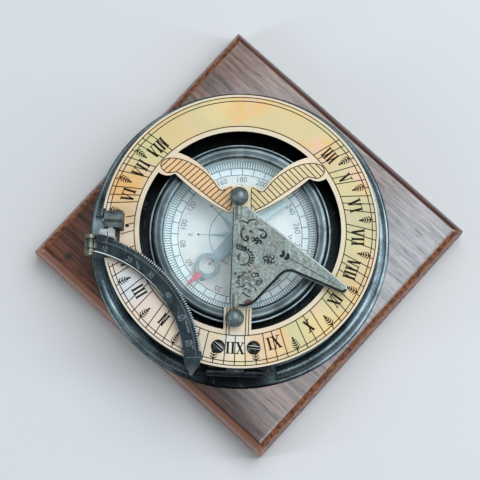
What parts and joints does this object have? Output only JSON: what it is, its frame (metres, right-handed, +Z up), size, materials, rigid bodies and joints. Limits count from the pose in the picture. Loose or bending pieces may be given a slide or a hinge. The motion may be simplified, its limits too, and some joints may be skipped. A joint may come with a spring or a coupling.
{
  "type": "sundial compass",
  "caption": "Folding sundial compass on a square wooden base: round case with glazed compass, hinged hour dial, fold-down gnomon and toothed latitude arc.",
  "frame": {"origin": "centre of the wooden base's underside", "axes": "+Z up out of the dial; -Y towards the hour XII and the dial's hinge; +X towards the morning hours"},
  "size_m": [0.1832, 0.1832, 0.0518],
  "materials": {
    "walnut": "polished, reddish brown",
    "antique_brass": "dark antiqued, worn at the edges",
    "pewter": "grey-green patina, engraved",
    "worn_brass": "dull brass",
    "printed_face": "cream print, sealed",
    "card": "printed compass card",
    "glass": "flat window glass",
    "steel": "dull",
    "dark_steel": "blackened",
    "needle_blue": "blue-grey lacquer with a red tip"
  },
  "bodies": {
    "case": {"wooden_base": "walnut", "base_screws": "steel", "case_body": "antique_brass", "case_hinge_leaf": "antique_brass", "case_leaf_rivets": "worn_brass", "dial_hinge_pin": "worn_brass", "compass_bowl": "antique_brass", "bowl_screws": "steel", "compass_bezel": "antique_brass", "compass_glass": "glass", "spacer_ring": "worn_brass", "compass_card": "card", "pivot_post": "worn_brass"},
    "compass_needle": {"needle": "needle_blue", "needle_cap": "worn_brass"},
    "dial": {"dial_plate": "worn_brass", "dial_face": "printed_face", "dial_hinge_leaf": "antique_brass", "dial_screws": "dark_steel", "gnomon_post_upper": "antique_brass", "gnomon_post_lower": "antique_brass", "post_nuts": "worn_brass", "arc_bracket": "worn_brass", "arc_bracket_screws": "dark_steel", "arc_pin": "worn_brass", "index_block": "antique_brass", "pawl_pin": "worn_brass", "index_spring": "steel"},
    "gnomon": {"gnomon": "pewter", "gnomon_pins": "worn_brass"},
    "arc": {"latitude_arc": "antique_brass"},
    "pawl": {"index_pawl": "steel"}
  },
  "joints": [
    {"name": "needle_spin", "type": "hinge", "parent": "case", "child": "compass_needle", "pos_m": [-0.004, -0.0002, 0.031], "axis": [0, 0, 1], "continuous": true},
    {"name": "dial_tilt", "type": "hinge", "parent": "case", "child": "dial", "pos_m": [-0.004, -0.0591, 0.0396], "axis": [1, 0, 0], "range_deg": [0, 60]},
    {"name": "gnomon_fold", "type": "hinge", "parent": "dial", "child": "gnomon", "pos_m": [-0.0049, -0.0122, 0.048], "axis": [0, -1, 0], "range_deg": [0, 90]},
    {"name": "arc_fold", "type": "hinge", "parent": "dial", "child": "arc", "pos_m": [-0.0655, -0.0088, 0.0464], "axis": [0, -1, 0], "range_deg": [0, 90]},
    {"name": "pawl_lift", "type": "hinge", "parent": "dial", "child": "pawl", "pos_m": [-0.0572, 0.00071, 0.047], "axis": [-1, 0, 0], "range_deg": [0, 12], "stiffness_Nm_per_rad": 0.002, "springref_deg": -5.73}
  ]
}
